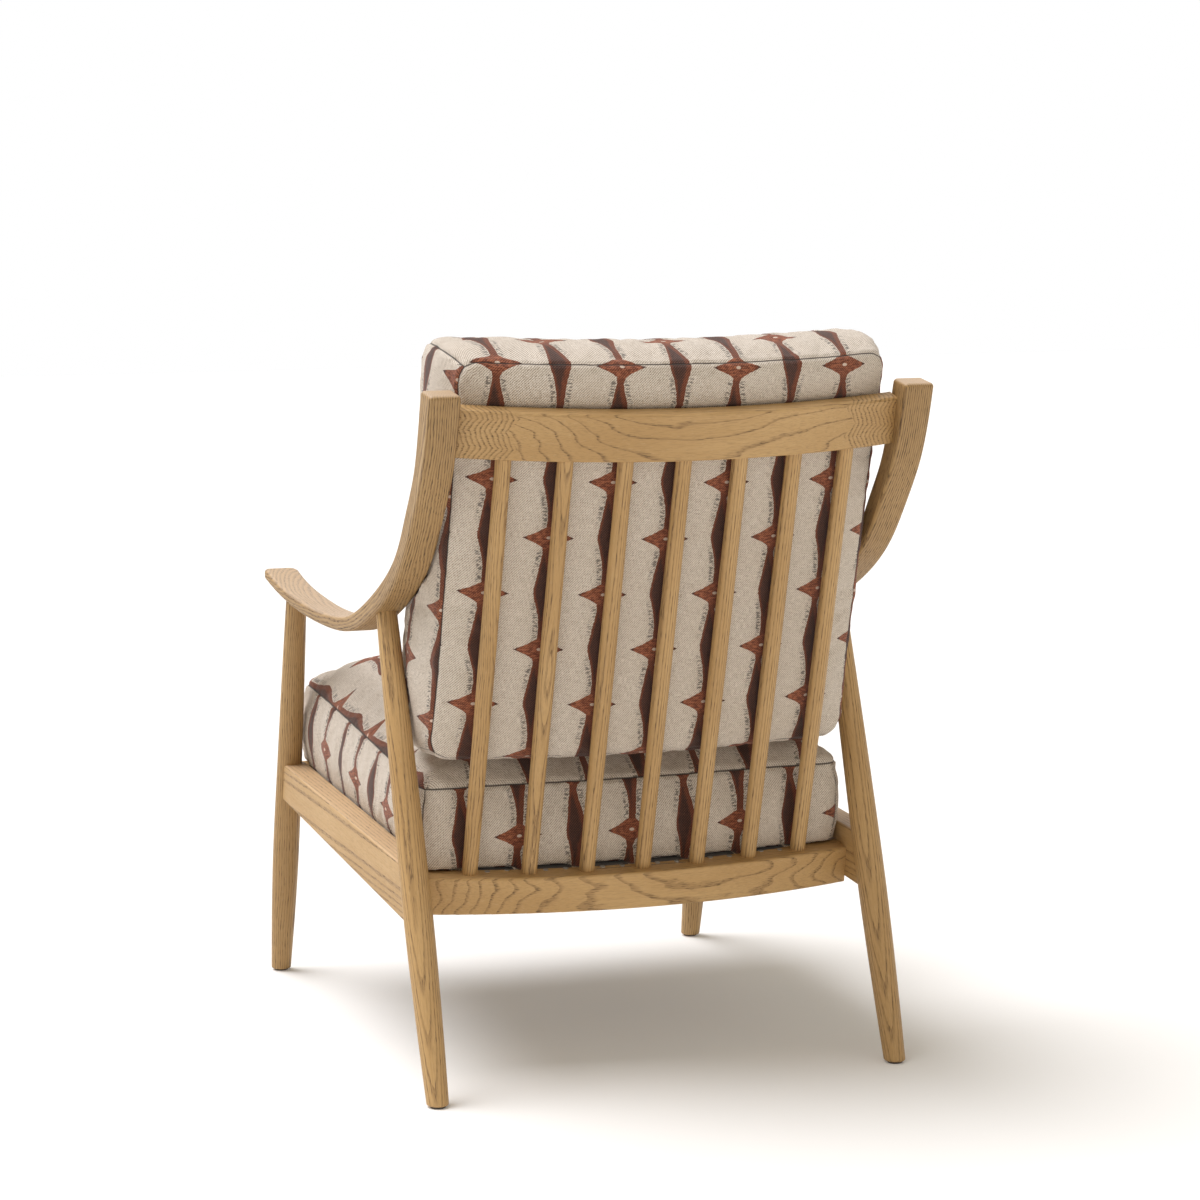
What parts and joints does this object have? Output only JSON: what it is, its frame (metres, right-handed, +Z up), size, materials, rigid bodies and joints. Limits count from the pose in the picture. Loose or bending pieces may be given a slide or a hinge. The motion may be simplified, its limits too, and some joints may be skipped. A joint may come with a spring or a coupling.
{
  "type": "armchair",
  "caption": "Low armchair with a raked spindle back, swept one-piece arms and back posts, round tapered legs, and loose boxed seat and back cushions.",
  "frame": {"origin": "on the floor, under the middle of the bounding box", "axes": "+Z up; the sitter faces -Y; X runs across the chair, with the sitter's left at +X"},
  "size_m": [0.653, 0.8042, 0.9111],
  "materials": {
    "oak": "satin",
    "webbing": "matte",
    "glide": "matte",
    "steel": "satin",
    "cover_fabric": "matte",
    "foam": "matte"
  },
  "bodies": {
    "frame": {"crest_rail": "oak", "lower_back_rail": "oak", "front_rail": "oak", "left_arm_post": "oak", "left_rear_leg": "oak", "left_front_leg": "oak", "left_side_rail": "oak", "left_front_corner_block": "oak", "left_rear_corner_block": "oak", "right_arm_post": "oak", "right_rear_leg": "oak", "right_front_leg": "oak", "right_side_rail": "oak", "right_front_corner_block": "oak", "right_rear_corner_block": "oak", "spindle_1": "oak", "spindle_2": "oak", "spindle_3": "oak", "spindle_4": "oak", "spindle_5": "oak", "spindle_6": "oak", "spindle_7": "oak", "crest_dowels": "oak", "lower_rail_dowels": "oak", "webbing_strap_1": "webbing", "webbing_strap_2": "webbing", "webbing_strap_3": "webbing", "webbing_strap_4": "webbing", "webbing_strap_5": "webbing", "webbing_strap_6": "webbing", "webbing_cross_1": "webbing", "webbing_cross_2": "webbing", "foot_glides": "glide", "webbing_tacks": "steel", "block_screws": "steel"},
    "seat_cushion": {"seat_cushion_cover": "cover_fabric", "seat_cushion_core": "foam"},
    "back_cushion": {"back_cushion_cover": "cover_fabric", "back_cushion_core": "foam"}
  },
  "joints": [
    {"name": "seat_cushion_out", "type": "slide", "parent": "frame", "child": "seat_cushion", "axis": [0, -0.9959, 0.0906], "range_m": [0, 0.62]},
    {"name": "back_cushion_out", "type": "slide", "parent": "frame", "child": "back_cushion", "axis": [0, 0.2588, 0.9659], "range_m": [0, 0.5]}
  ]
}
